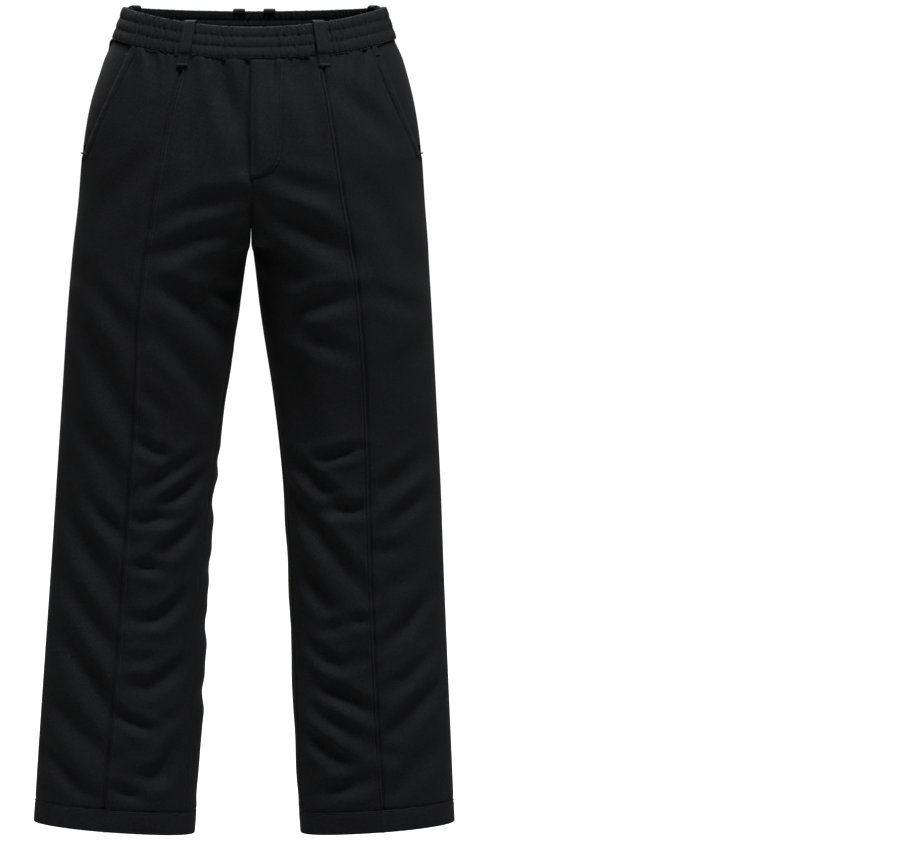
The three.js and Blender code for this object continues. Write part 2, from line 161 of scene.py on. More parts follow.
# Folds: troughs along a short route of x, z points, with half width and depth.
foldStrength = 1.45
softFold, midFold, deepFold = 1.9, 3.2, 4.6
frontFolds = [
    # seat and thigh
    (12, 3.2, [(-5, -212), (-60, -222), (-105, -243)]),
    (11, 4.2, [(-14, -246), (-70, -262), (-119, -288)]),
    (12, 5.4, [(-112, -322), (-70, -345), (-36, -385)]),
    (10, 5.0, [(-50, -330), (-20, -338)]),
    (11, 4.2, [(-40, -55), (-24, -105), (-12, -160)]),
    (7, 3.0, [(-6, -50), (-7, -110), (-5, -172)]),
    (10, 2.6, [(64, -64), (70, -100), (76, -131)]),
    (10, 2.4, [(112, -83), (145, -112), (168, -139)]),
    (11, 2.2, [(27, -190), (100, -209)]),
    (13, 5.4, [(16, -225), (68, -250), (119, -286)]),
    (10, 3.6, [(8, -272), (40, -296), (64, -320)]),
    (11, 5.0, [(44, -374), (60, -353), (83, -341), (117, -336)]),
    (10, midFold, [(60, -380), (111, -403)]),
    (17, 4.6, [(44, -405), (52, -450), (60, -505)]),
    (10, softFold, [(-60, -92), (-74, -150), (-78, -190)]),
    (12, 2.2, [(-120, -150), (-165, -205), (-190, -250)]),
    (12, 2.0, [(128, -190), (165, -236), (190, -290)]),
    (10, 2.0, [(150, -330), (200, -350)]),
    # right leg, outer half
    (12, midFold, [(-204, -320), (-151, -378)]),
    (13, deepFold, [(-217, -362), (-186, -428), (-151, -502)]),
    (12, midFold, [(-226, -480), (-190, -528), (-158, -590)]),
    (9, midFold, [(-204, -596), (-160, -640)]),
    (12, deepFold, [(-240, -596), (-208, -650), (-169, -718)]),
    (10, midFold, [(-238, -690), (-176, -782)]),
    (11, 5.0, [(-240, -766), (-208, -812), (-176, -870)]),
    (11, midFold, [(-262, -842), (-194, -910)]),
    (10, 4.2, [(-264, -912), (-210, -970)]),
    (8, 1.8, [(-262, -962), (-240, -980)]),
    # right leg, inner half
    (11, midFold, [(-118, -382), (-82, -420), (-53, -466)]),
    (9, softFold, [(-136, -452), (-110, -482)]),
    (7, midFold, [(-139, -520), (-106, -536)]),
    (8, 3.6, [(-69, -540), (-100, -556), (-135, -577)]),
    (8, deepFold, [(-59, -560), (-84, -580), (-114, -600)]),
    (7, 3.8, [(-145, -618), (-100, -615)]),
    (9, deepFold, [(-55, -616), (-88, -640), (-121, -666)]),
    (7, 3.8, [(-145, -675), (-113, -681)]),
    (8, deepFold, [(-151, -745), (-116, -743), (-82, -715)]),
    (7, softFold, [(-154, -796), (-126, -796)]),
    (9, 3.8, [(-156, -826), (-129, -831), (-82, -802)]),
    (7, deepFold, [(-165, -867), (-129, -885)]),
    (8, softFold, [(-110, -878), (-86, -862)]),
    (10, deepFold, [(-144, -949), (-113, -943), (-90, -904)]),
    (7, deepFold, [(-170, -962), (-143, -971)]),
    # left leg, inner half
    (7, 4.2, [(77, -542), (126, -528)]),
    (8, deepFold, [(50, -545), (102, -587)]),
    (8, deepFold, [(93, -605), (137, -602)]),
    (10, 5.2, [(46, -590), (86, -640), (136, -702)]),
    (9, deepFold, [(57, -682), (95, -730)]),
    (7, midFold, [(92, -757), (113, -754)]),
    (7, midFold, [(123, -745), (143, -745)]),
    (8, midFold, [(64, -772), (88, -794), (111, -803), (134, -796)]),
    (7, softFold, [(63, -803), (79, -817)]),
    (9, 5.2, [(72, -828), (108, -840), (148, -860)]),
    (9, midFold, [(63, -842), (83, -864), (146, -902)]),
    (9, deepFold, [(63, -890), (116, -928)]),
    (9, deepFold, [(88, -967), (117, -961), (147, -949)]),
    # left leg, outer half
    (10, midFold, [(161, -580), (208, -545)]),
    (9, midFold, [(176, -619), (214, -588)]),
    (8, softFold, [(155, -658), (183, -652)]),
    (9, softFold, [(171, -707), (197, -689)]),
    (9, 4.2, [(168, -776), (189, -758), (226, -712)]),
    (9, midFold, [(171, -833), (199, -818), (228, -786)]),
    (10, deepFold, [(169, -894), (193, -873), (241, -820)]),
    (11, midFold, [(180, -969), (212, -929), (240, -906)]),
    (8, softFold, [(159, -915), (186, -919)]),
    (13, softFold, [(190, -420), (226, -390)]),
]
backFolds = [
    (13, 5.2, [(57, -182), (30, -214), (60, -238), (101, -246)]),
    (9, 4.6, [(20, -272), (45, -300)]),
    (9, 3.8, [(45, -288), (23, -322)]),
    (11, midFold, [(127, -262), (79, -326)]),
    (9, midFold, [(105, -346), (49, -373)]),
    (9, midFold, [(90, -388), (41, -377)]),
    (13, 4.2, [(190, -288), (150, -350), (97, -418)]),
    (11, midFold, [(167, -417), (101, -465)]),
    (15, softFold, [(-10, -196), (-80, -232), (-143, -275)]),
    (12, 5.0, [(-18, -328), (-91, -375), (-125, -369)]),
    (10, midFold, [(-32, -390), (-106, -402)]),
    (8, midFold, [(-47, -438), (-77, -435)]),
    (11, midFold, [(-88, -472), (-173, -413)]),
    (11, midFold, [(-121, -328), (-180, -307)]),
    (8, 3.4, [(23, -46), (20, -90), (16, -135)]),
    (9, 3.0, [(-21, -48), (-32, -105), (-77, -161)]),
    (8, softFold, [(117, -30), (134, -48)]),
    (8, softFold, [(-117, -37), (-170, -70)]),
    (11, 2.6, [(175, -94), (190, -142)]),
    (12, 2.8, [(-173, -78), (-205, -140)]),
    (12, 2.2, [(120, -150), (160, -200), (180, -240)]),
    (12, 2.0, [(-110, -160), (-165, -200)]),
    (8, 4.6, [(127, -514), (71, -523)]),
    (10, deepFold, [(178, -515), (116, -557)]),
    (9, midFold, [(123, -586), (82, -571)]),
    (10, deepFold, [(156, -843), (86, -828)]),
    (10, midFold, [(164, -932), (97, -954)]),
    (12, deepFold, [(218, -762), (180, -830), (141, -912)]),
    (11, midFold, [(243, -880), (178, -965)]),
    (10, softFold, [(200, -725), (141, -817)]),
    (9, deepFold, [(-80, -531), (-147, -538)]),
    (9, deepFold, [(-58, -551), (-121, -579)]),
    (10, deepFold, [(-54, -599), (-117, -658)]),
    (10, midFold, [(-106, -607), (-180, -577)]),
    (9, midFold, [(-66, -688), (-125, -736)]),
    (9, midFold, [(-66, -762), (-110, -810)]),
    (10, midFold, [(-139, -795), (-191, -754)]),
    (9, midFold, [(-102, -832), (-158, -825)]),
    (9, midFold, [(-139, -865), (-184, -854), (-236, -817)]),
    (10, deepFold, [(-77, -851), (-139, -902)]),
    (10, midFold, [(-113, -939), (-173, -968), (-228, -932)]),
    (10, midFold, [(196, -600), (236, -650)]),
    (10, midFold, [(-190, -640), (-232, -700)]),
    (9, midFold, [(75, -640), (130, -690), (160, -740)]),
    (9, midFold, [(72, -740), (120, -770)]),
    (9, midFold, [(-150, -690), (-205, -720)]),
]


# Fold relief: distance to each route's nearest piece, pressed in as a bell with a low
# raised shoulder on both sides, shallower towards the route's ends.
def foldRelief(face, x, z):
    total = np.zeros_like(x)
    for width, depth, route in (frontFolds if face == "front" else backFolds):
        points = np.array(route, float)
        points[0] += 0.16 * (points[0] - points[1])
        points[-1] += 0.16 * (points[-1] - points[-2])
        near = (x > points[:, 0].min() - 40) & (x < points[:, 0].max() + 40)
        near &= (z > points[:, 1].min() - 40) & (z < points[:, 1].max() + 40)
        if not near.any():
            continue
        px, pz = x[near], z[near]
        best = np.full(px.shape, 1e9)
        place = np.zeros(px.shape)
        lengths = np.hypot(*(points[1:] - points[:-1]).T)
        start = 0.0
        for a, b, length in zip(points[:-1], points[1:], lengths):
            t = np.clip(((px - a[0]) * (b[0] - a[0]) + (pz - a[1]) * (b[1] - a[1])) / length ** 2, 0, 1)
            d = np.hypot(px - a[0] - t * (b[0] - a[0]), pz - a[1] - t * (b[1] - a[1]))
            closer = d < best
            best = np.where(closer, d, best)
            place = np.where(closer, (start + t * length) / lengths.sum(), place)
            start += length
        q = (best / (1.18 * width)) ** 2
        body = 0.3 + 0.7 * np.sin(np.pi * np.clip(place, 0, 1))
        total[near] -= depth * body * (np.exp(-q) - 0.36 * np.exp(-((np.sqrt(q) - 1.7) / 0.75) ** 2))
    return foldStrength * total


# Broad uneven ease of the cloth: a few slow waves.
def slowWaves(x, z, face):
    k = 1.0 if face == "front" else 1.7
    return (0.9 * np.sin(0.021 * z + 0.013 * x + k) * np.sin(0.017 * x - 0.006 * z + 2 * k)
            + 0.45 * np.sin(0.055 * z - 0.031 * x + 3 * k) + 0.3 * np.sin(0.083 * z + 0.047 * x + k))


crease = {"high": 2.6, "half": 1.25, "ditch": 2.3, "ditchAt": 3.0, "start": -52.0}
seams = {"roll": 1.2, "rollHalf": 2.6, "gap": 0.15, "over": 0.3, "wall": 1.6}
band = {"top": 20.0, "seam": -20.0, "dipFront": 24.0, "dipBack": 5.0, "seamDip": 23.0,
        "columns": 1200, "rows": 31, "bump": 1.9, "stitchRows": (0.335, 0.665), "gather": 1.7}
pocket = {"topZ": -38.0, "topX": 156.0, "footZ": -164.0, "footX": 212.0, "welt": 8.0, "sink": 3.6,
          "under": 18.0, "facingFoot": -151.0, "heel": 4.0}


# Height of the waist seam: straight behind, dipping in front as 1 minus across squared.
def waistSeam(inFront, across):
    return band["seam"] - np.where(inFront, band["seamDip"] * (1 - across ** 2), 0.0)


# Distance of the slanted pocket edge from the centre: a straight line in height.
def pocketEdge(level):
    share = (level - pocket["topZ"]) / (pocket["footZ"] - pocket["topZ"])
    return pocket["topX"] + share * (pocket["footX"] - pocket["topX"])


# All that stands off the base surface of a panel, in mm: folds and slow waves faded at the
# seams, the tucked crease with its ditch on the outer side, small puckers beside it, and
# gathers hanging from the waist seam.
def relief(side, face, angle, level, point):
    x, z = point[..., 0], point[..., 2]
    turn = np.abs(angle)
    inseam = inseamAngle(side, level)
    inseam = inseam if face == "front" else 2 * np.pi - inseam
    fade = ease(np.minimum(turn, inseam - turn), 0.03, 0.42)
    fade = fade * ease(level, cut["hem"] + cut["hemHigh"], cut["hem"] + cut["hemHigh"] + 22)
    out = (foldRelief(face, x, z) + slowWaves(x, z, face)) * fade
    top = waistSeam(face == "front", np.clip((1 + np.cos(angle)) / 2, 0, 1))
    under = np.maximum(top - level, 0)
    hang = (0.75 * bell(under, 20.0) + 0.55 * bell(under, 62.0)) * ease(np.abs(inseam - turn), 0.0, 0.3)
    bent = x + 4 * np.sin(0.045 * under + 0.03 * x)
    pleats = 0.8 * np.sin(0.36 * bent + 0.9 * np.sin(0.07 * x)) + 0.55 * np.sin(0.61 * x + 1.3)
    broad = 1.1 * np.sin(0.17 * bent + 1.2 * np.sin(0.05 * x))
    out += hang * (pleats * bell(under, 34.0) + broad)
    if face == "front":
        reach = section("outer", np.minimum(level, -44.0)) / 2
        d = (creaseAngle(side, level) - turn) * np.minimum(reach, 104)
        started = ease(-level, -crease["start"], -crease["start"] + 6)
        pucker = 0.22 * np.sin(level * 0.9 + 1.4 * np.sin(level * 0.13)) * bell(d, 5)
        ridge = crease["high"] * bell(d - 0.2, crease["half"])
        ditch = crease["ditch"] * bell(d - crease["ditchAt"], 2.1)
        out += started * (ridge - ditch + pucker)
        fly = (np.abs(x - section("sway", level)) < 70) & (level > -200)
        groove = 0.0
        if side > 0:
            groove = 1.3 * bell(x - flyStitch(level), 1.3) * ease(level, -166, -160)
        out += np.where(fly, -groove, 0.0)
    else:
        for dart in ((97.5, 107.5), (-85.0, -98.0)):
            line = dart[0] + (dart[1] - dart[0]) * np.clip((-25.0 - z) / 48.0, 0, 1)
            out -= 1.1 * bell(x - line, 1.5) * ease(z, -82, -70)
    return out


# Edge of the fly's stitching: straight down, then curving in to the centre.
def flyStitch(level):
    drop = np.clip((-148.0 - level) / 38.0, 0, 1)
    return 34.5 * np.sqrt(np.maximum(1 - drop ** 2.4, 0))


# A panel's surface moved out by lift, with the relief of the panel that it is on.
def skin(side, face, angle, level, lift):
    point = bodyPoint(side, angle, level)
    n = outward(side, angle, level)
    return point + n * (lift + relief(side, face, angle, level, point))[..., None]


# Points held to their own side of the centre, but for the seam overlap.
def keepClear(points, side, level):
    centre = section("sway", level)
    away = np.maximum(side * (points[..., 0] - centre), -seams["over"])
    points[..., 0] = centre + side * away
    return points


def makeMesh(name, verts, faces, material):
    mesh = bpy.data.meshes.new(name)
    faces = faces if isinstance(faces, list) else faces.tolist()
    mesh.from_pydata((np.asarray(verts) * mm).tolist(), [], faces)
    mesh.polygons.foreach_set("use_smooth", np.ones(len(mesh.polygons), bool))
    mesh.materials.append(material)
    mesh.update()
    piece = bpy.data.objects.new(name, mesh)
    bpy.context.scene.collection.objects.link(piece)
    return piece


# Faces turned so that the closed mesh's volume is positive.
def outFaces(verts, faces):
    a, b, c, d = (verts[faces[:, k]] for k in range(4))
    volume = np.einsum("ij,ij->i", a, np.cross(b, c)).sum()
    volume += np.einsum("ij,ij->i", a, np.cross(c, d)).sum()
    return faces if volume > 0 else faces[:, ::-1]


# A wall from an outer and an inner grid of points, rows by columns, closed at its rims.
def wall(name, outer, inner, material, ring=False):
    rows, cols = outer.shape[:2]
    index = np.arange(rows * cols).reshape(rows, cols)
    wrap = np.concatenate([index, index[:, :1]], axis=1) if ring else index
    a, b = wrap[:-1, :-1].ravel(), wrap[:-1, 1:].ravel()
    c, d = wrap[1:, 1:].ravel(), wrap[1:, :-1].ravel()
    size = rows * cols
    faces = [np.stack([a, b, c, d], 1), np.stack([d, c, b, a], 1) + size]
    top, foot = wrap[0], wrap[-1]
    faces.append(np.stack([top[1:], top[:-1], top[:-1] + size, top[1:] + size], 1))
    faces.append(np.stack([foot[:-1], foot[1:], foot[1:] + size, foot[:-1] + size], 1))
    if not ring:
        left, right = index[:, 0], index[:, -1]
        faces.append(np.stack([left[:-1], left[1:], left[1:] + size, left[:-1] + size], 1))
        faces.append(np.stack([right[1:], right[:-1], right[:-1] + size, right[1:] + size], 1))
    verts = np.concatenate([outer.reshape(-1, 3), inner.reshape(-1, 3)])
    faces = np.concatenate(faces)
    return makeMesh(name, verts, outFaces(verts, faces), material)


# Shader maths: a socket with Python's operators.
class Wire:
    def __init__(self, tree, socket):
        self.tree, self.socket = tree, socket

    def node(self, kind, settings=None, inputs=None, out=0):
        item = self.tree.nodes.new(kind)
        for key, value in (settings or {}).items():
            if key == "stops":
                ramp = item.color_ramp
                while len(ramp.elements) < len(value):
                    ramp.elements.new(0.5)
                for element, (place, shade) in zip(ramp.elements, value):
                    element.position = place
                    element.color = (shade, shade, shade, 1)
            else:
                setattr(item, key, value)
        for key, value in (inputs or {}).items():
            if isinstance(value, Wire):
                self.tree.links.new(value.socket, item.inputs[key])
            else:
                item.inputs[key].default_value = value
        return Wire(self.tree, item.outputs[out] if len(item.outputs) else None)

    def math(self, operation, a, b):
        return self.node("ShaderNodeMath", {"operation": operation}, {0: a, 1: b})

    def __add__(self, other):
        return self.math("ADD", self, other)

    def __radd__(self, other):
        return self.math("ADD", other, self)

    def __sub__(self, other):
        return self.math("SUBTRACT", self, other)

    def __rsub__(self, other):
        return self.math("SUBTRACT", other, self)

    def __mul__(self, other):
        return self.math("MULTIPLY", self, other)

    def __rmul__(self, other):
        return self.math("MULTIPLY", other, self)


# Knit cloth: a dull dark colour with slow unevenness, plus painted shade that darkens the colour in the
# hollows of the curly yarn and lightens it on its crowns, curly yarn as a fine bump, and a soft sheen.
def knitCloth(name, shade, yarn=1.0, fuzz=0.015):
    material = bpy.data.materials.new(name)
    material.use_nodes = True
    tree = material.node_tree
    tree.nodes.clear()
    base = Wire(tree, None)
    coords = base.node("ShaderNodeTexCoord", out=3)
    warp = base.node("ShaderNodeTexNoise", {}, {"Vector": coords, "Scale": 420.0, "Detail": 2.0}, out=1)
    bent = base.node("ShaderNodeVectorMath", {"operation": "MULTIPLY_ADD"},
                     {0: warp, 1: (0.0016, 0.0016, 0.0016), 2: coords})
    stretched = base.node("ShaderNodeMapping", {}, {"Vector": bent, "Scale": (1.0, 1.0, 0.62)})
    curls = base.node("ShaderNodeTexVoronoi", {"feature": "F1"}, {"Vector": stretched, "Scale": 620.0})
    fine = base.node("ShaderNodeTexNoise", {}, {"Vector": coords, "Scale": 1500.0, "Detail": 3.0})
    slow = base.node("ShaderNodeTexNoise", {}, {"Vector": coords, "Scale": 14.0, "Detail": 3.0})
    height = curls * 0.65 + fine * 0.5
    # the slow noise is uneven tone; the fine and curl terms follow the bump height, so they are painted
    # shade in the yarn's hollows and painted light on its crowns
    toneAndShade = 0.62 + slow * 0.3 + (fine - 0.5) * 0.9 + (curls - 0.45) * 0.8
    dark = tuple(c * 0.45 for c in shade) + (1,)
    pale = tuple(c * 1.5 for c in shade) + (1,)
    colour = base.node("ShaderNodeMix", {"data_type": "RGBA"}, {0: toneAndShade - 0.35, 6: dark, 7: pale}, out=2)
    bump = base.node("ShaderNodeBump", {},
                     {"Height": height, "Strength": 0.8, "Distance": 0.0007 * yarn})
    shader = base.node("ShaderNodeBsdfPrincipled", {}, {
        "Base Color": colour, "Roughness": 0.72, "Specular IOR Level": 0.07, "Sheen Weight": fuzz,
        "Sheen Roughness": 0.45, "Normal": bump})
    base.node("ShaderNodeOutputMaterial", {}, {"Surface": shader})
    return material


def plainThread(name, shade):
    material = bpy.data.materials.new(name)
    material.use_nodes = True
    tree = material.node_tree
    tree.nodes.clear()
    base = Wire(tree, None)
    coords = base.node("ShaderNodeTexCoord", out=3)
    twist = base.node("ShaderNodeTexNoise", {}, {"Vector": coords, "Scale": 2600.0, "Detail": 2.0})
    dark = tuple(c * 0.6 for c in shade) + (1,)
    pale = tuple(c * 1.4 for c in shade) + (1,)
    # the colour follows the twist that also makes the bump: painted shade, darker in the twist's grooves
    # and paler on its raised plies
    colour = base.node("ShaderNodeMix", {"data_type": "RGBA"}, {0: twist * 1.0, 6: dark, 7: pale}, out=2)
    bump = base.node("ShaderNodeBump", {}, {"Height": twist, "Strength": 0.4, "Distance": 0.0002})
    shader = base.node("ShaderNodeBsdfPrincipled", {}, {
        "Base Color": colour, "Roughness": 0.6, "Specular IOR Level": 0.3, "Normal": bump})
    base.node("ShaderNodeOutputMaterial", {}, {"Surface": shader})
    return material


looks = {"panel": (0.0088, 0.0091, 0.0102),
         "band": (0.0080, 0.0083, 0.0093),
         "trim": (0.0092, 0.0095, 0.0106),
         "thread": (0.0120, 0.0124, 0.0138)}
panelCloth = knitCloth("knit_panel", looks["panel"])
bandCloth = knitCloth("knit_band", looks["band"])
trimCloth = knitCloth("knit_trim", looks["trim"])
threadLook = plainThread("thread", looks["thread"])


def keep(piece, node):
    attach(piece, "root")
    if node:
        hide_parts(node)
    return piece


# Places from -1 (start) through 0 (crease) to 1 (end), closer together at the crease and
# at both edges.
def columnPlaces(count):
    t = np.linspace(-1, 1, 4001)
    density = 1 + 4.5 * bell(t, 0.05) + 2.2 * bell(1 - np.abs(t), 0.03)
    total = np.cumsum(density)
    places = np.interp(np.linspace(total[0], total[-1], count), total, t)
    places[np.argmin(np.abs(places))] = 0
    return places


panelRows = {"band": 26, "pocket": 54, "seat": 54, "leg": 174, "columns": 107}


# One panel: columns run from the side edge to the inseam, rows from waist seam to hem.
def makePanel(name, side, face):
    sign = 1 if face == "front" else -1
    foot = cut["hem"] + cut["hemHigh"] + 2 * seams["gap"]
    step = pocket["footZ"]
    s = np.linspace(0, 1, panelRows["seat"] + 1)
    seat = cut["crotch"] + (step - 0.9 - cut["crotch"]) * (1 - s) ** 1.4
    s = np.linspace(0, 1, panelRows["leg"] + 1)[1:]
    leg = cut["crotch"] + (foot - cut["crotch"]) * (0.25 * s ** 2 + 0.75 * s)
    fixed = np.concatenate([np.linspace(-58, step, panelRows["pocket"]), seat, leg])
    t = columnPlaces(panelRows["columns"])[None, :]

    def anglesAt(level):
        inseam = inseamAngle(side, level)
        end = inseam if face == "front" else 2 * np.pi - inseam
        middle = creaseAngle(side, level) if face == "front" else end / 2
        start = np.zeros_like(level)
        if face == "front":
            edge = pocketEdge(np.maximum(level, step)) - pocket["welt"]
            opened = np.clip((level - step + pocket["heel"]) / pocket["heel"], 0, 1)
            start = angleAt(edge, level) * opened
        return np.where(t < 0, middle + t * (middle - start), middle + t * (end - middle))

    lowAngles = anglesAt(np.full((1, 1), -31.5))
    seam = waistSeam(face == "front", (1 + np.cos(lowAngles)) / 2) - seams["gap"]
    v = np.linspace(0, 1, panelRows["band"])[:-1, None]
    level = np.concatenate([seam + (-58 - seam) * v, np.repeat(fixed[:, None], t.shape[1], 1)])
    angle = sign * np.concatenate([anglesAt(row[None, :] if row.ndim == 1 else row) for row in level])

    def layer(lift):
        points = skin(side, face, angle, level, lift)
        for column, turn in ((0, 0.15), (-1, -0.15)):
            inside = skin(side, face, angle[:, column] + sign * turn, level[:, column], lift[:, column])
            pull = inside - points[:, column]
            points[:, column] -= seams["over"] * pull / np.linalg.norm(pull, axis=-1, keepdims=True)
        return keepClear(points, side, level)

    # the edges roll in where they are sewn
    reach = section("outer", np.minimum(level, -44.0)) / 2
    toStart = np.abs(np.abs(angle) - np.abs(angle[:, :1])) * reach
    toEnd = np.abs(np.abs(angle) - np.abs(angle[:, -1:])) * reach
    inHip = np.abs(angle[:, -1:]) > np.pi - 0.01
    centreDistance = np.abs(bodyPoint(side, angle, level)[..., 0] - section("sway", level))
    toEnd = np.where(inHip & (level > cut["crotch"]), centreDistance, toEnd)
    roll = -seams["roll"] * (bell(toStart, seams["rollHalf"]) + bell(toEnd, seams["rollHalf"]))
    roll -= 0.8 * bell(np.abs(level - seam), 2.0)
    roll -= 0.6 * bell(np.abs(level - foot), 1.6)
    outer = layer(roll)
    inner = layer(roll - seams["wall"])
    return wall(name, outer, inner, panelCloth)


print("stage: panels")
sideNames = {-1: "right", 1: "left"}
for side in (-1, 1):
    for face in ("front", "back"):
        name = f"{face}_{sideNames[side]}"
        keep(makePanel(name + "_panel", side, face), name)


# Waistband: three stitched channels of elastic, puckered into uneven upright gathers that
# pinch at the stitch rows and at both edges.
def bandPlace(theta, drop):
    side = np.where(np.cos(theta) < 0, -1.0, 1.0)
    across = np.abs(np.cos(theta))
    inFront = np.sin(theta) < 0
    top = band["top"] - (1 - across ** 2) * np.where(inFront, band["dipFront"], band["dipBack"])
    foot = waistSeam(inFront, across) + seams["gap"]
    angle = np.arccos(2 * across - 1) * np.where(inFront, 1, -1)
    return side, angle, top + (foot - top) * drop, top, foot


# Round ridges with narrow valleys, two a turn of the phase.
def pleat(phase):
    return 0.75 - 2 * (1 - np.abs(np.sin(phase))) ** 1.6


# Three pleat waves of unlike pitch, bent by slow wander and swelling round the waist.
def gathers(theta, drop):
    wander = 0.5 * np.sin(7 * theta + 1) + 0.35 * np.sin(13 * theta + 4 * drop)
    swell = 0.75 + 0.35 * np.sin(5 * theta + 0.6) + 0.2 * np.sin(17 * theta)
    fine = pleat(69 * theta + 2.1 * wander + 0.4 * np.sin(9 * drop))
    broad = pleat(44 * theta + 1.6 * wander + 0.6 * np.sin(6 * drop + 1))
    thin = np.sin(197 * theta + 5 * wander + 1.9 * np.sin(11 * drop + 2 * np.sin(9 * theta)))
    return swell * (0.6 * fine + 0.4 * broad + 0.25 * thin)


# The band's outside: three rounded channels plus the gathers, which are sharper at the
# stitch rows.
def bandSurface(theta, drop, lift, strength=1.0):
    side, angle, level, top, foot = bandPlace(theta, drop)
    level = level + 0.5 * strength * gathers(theta, drop * 0 + 3.0) * bell(drop - 1, 0.12)
    level = level + 0.35 * strength * gathers(theta, drop * 0 + 1.0) * bell(drop, 0.1)
    n = outward(side, angle, level)
    channel = np.abs(np.sin(3 * np.pi * np.clip(drop, 0, 1))) ** 0.6
    pinch = 0.55 + 0.6 * (1 - channel)
    puff = band["bump"] * channel + strength * band["gather"] * pinch * gathers(theta, drop)
    return bodyPoint(side, angle, level) + n * (lift + puff)[..., None]


def makeBand():
    theta = (np.arange(band["columns"]) + 0.5) * 2 * np.pi / band["columns"]
    drop = np.concatenate([[0.0], np.linspace(0.012, 0.988, band["rows"]), [1.0]])
    theta, drop = np.meshgrid(theta, drop)
    edge = np.where((drop <= 0) | (drop >= 1), -0.9, 0.0)
    outer = bandSurface(theta, drop, edge)
    side, angle, level, top, foot = bandPlace(theta, drop)
    channel = np.abs(np.sin(3 * np.pi * np.clip(drop, 0, 1))) ** 0.6
    n = outward(side, angle, level)
    inset = -(1.6 + 1.1 * channel) + 0.8 * gathers(theta + 0.02, drop) - edge * 0.5
    inner = bodyPoint(side, angle, level) + n * inset[..., None]
    return wall("waistband_gathered", outer, inner, bandCloth, ring=True)


print("stage: waistband")
keep(makeBand(), "waistband")


# A turned-up hem: a double wall flush with the panels.
def makeHem(side):
    angle = np.linspace(-np.pi, np.pi, 360, endpoint=False)[None, :]
    rise = np.concatenate([[cut["hemHigh"]], np.linspace(cut["hemHigh"] - 0.8, 0.8, 20), [0.0]])[:, None]
    angle, rise = np.broadcast_arrays(angle, rise)
    level = cut["hem"] + rise
    n = outward(side, angle, level)
    edge = -0.7 * ((rise <= 0) | (rise >= cut["hemHigh"]))
    soft = 0.35 * np.sin(14 * angle + 2 * np.sin(5 * angle)) * bell(rise - cut["hemHigh"], 9)
    soft = soft + 0.5 * np.sin(5 * angle + 1) * ease(cut["hemHigh"] - rise, 0, cut["hemHigh"]) * 0.8
    tuck = 1.6 * bell((np.abs(angle) - creaseAngle(side, level)) * 100, 1.7) * (angle > 0)
    groove = -0.8 * bell(rise - cut["hemHigh"] + 3.0, 1.0)
    lift = edge + soft + tuck + groove
    base = bodyPoint(side, angle, level)
    return wall(f"hem_{sideNames[side]}_turnup", base + n * lift[..., None],
                base + n * (soft + tuck * 0.5 - 2.6 - edge)[..., None], trimCloth, ring=True)


for side in (-1, 1):
    keep(makeHem(side), f"hem_{sideNames[side]}")


# The facing seen inside the slant pocket, sunk under the front panel's edge, with a soft
# rounded fold beside the opening.
def makeFacing(side):
    u = np.linspace(0, 1, 30)[None, :]
    fixed = np.linspace(-58, pocket["facingFoot"], 50)

    def placeAt(level):
        outer = section("outer", level)
        reachEnd = outer - pocketEdge(level) - 1 + pocket["under"]
        return outer - u * reachEnd

    share = np.clip(placeAt(np.full((1, 1), -22.0)) / section("outer", -22.0), 0, 1)
    top = waistSeam(True, share) - seams["gap"]
    v = np.linspace(0, 1, 20)[:-1, None]
    level = np.concatenate([top + (-58 - top) * v, np.repeat(fixed[:, None], u.shape[1], 1)])
    x = placeAt(level)
    angle = angleAt(x, level)
    outer = section("outer", level)
    share = np.clip((outer - x) / (outer - pocketEdge(level) + 1), 0, 1)
    swell = 1.0 * np.sin(np.pi * np.clip(share, 0, 1)) * ease(outer - pocketEdge(level), 4, 20)
    lift = -pocket["sink"] * np.sqrt(share) + swell * 0.9 - 0.9 * bell(share * 60, 2.5)
    n = outward(side, angle, level)
    base = bodyPoint(side, angle, level)
    base[..., 1] -= np.where(u == 0, seams["gap"], 0)
    return wall(f"hip_facing_{sideNames[side]}_cloth", base + n * lift[..., None],
                base + n * (lift - seams["wall"])[..., None], panelCloth)


# The turned edge of the slant pocket: a soft roll that dips at its stitch groove.
def makeWelt(side):
    u = np.linspace(0, 1, 15)[None, :]
    fixed = np.linspace(-58, pocket["footZ"] - pocket["heel"] + 0.5, 62)

    def placeAt(level):
        return pocketEdge(level) - pocket["welt"] + 0.15 + u * (pocket["welt"] - 0.3)

    share = np.clip(placeAt(np.full((1, 1), -28.0)) / section("outer", -28.0), 0, 1)
    top = waistSeam(True, share) - seams["gap"]
    v = np.linspace(0, 1, 16)[:-1, None]
    level = np.concatenate([top + (-58 - top) * v, np.repeat(fixed[:, None], u.shape[1], 1)])
    angle = angleAt(placeAt(level), level)
    u = np.broadcast_to(u, level.shape)
    ripple = 0.25 * np.sin(level * 0.42 + np.sin(level * 0.11)) * np.sin(np.pi * u)
    rolled = 0.9 * np.sin(np.pi * np.clip(u * 1.05, 0, 1)) ** 0.7
    lift = -1.0 * bell(u * 8, 1.2) + rolled + ripple - 0.5 * bell((1 - u) * 8, 0.7)
    n = outward(side, angle, level)
    base = bodyPoint(side, angle, level)
    return wall(f"pocket_welt_{sideNames[side]}_roll", base + n * lift[..., None],
                base + n * (-seams["wall"] + 0 * lift)[..., None], trimCloth)


# A place on the front or back given by x and level.
def onFace(face, x, level, lift):
    side = np.where(x < 0, -1.0, 1.0)
    angle = angleAt(x, level) * (1 if face == "front" else -1)
    point = bodyPoint(side, angle, level)
    n = outward(side, angle, level)
    rough = np.where(x < 0, relief(-1, face, angle, level, point), relief(1, face, angle, level, point))
    return point + n * (lift + rough)[..., None]


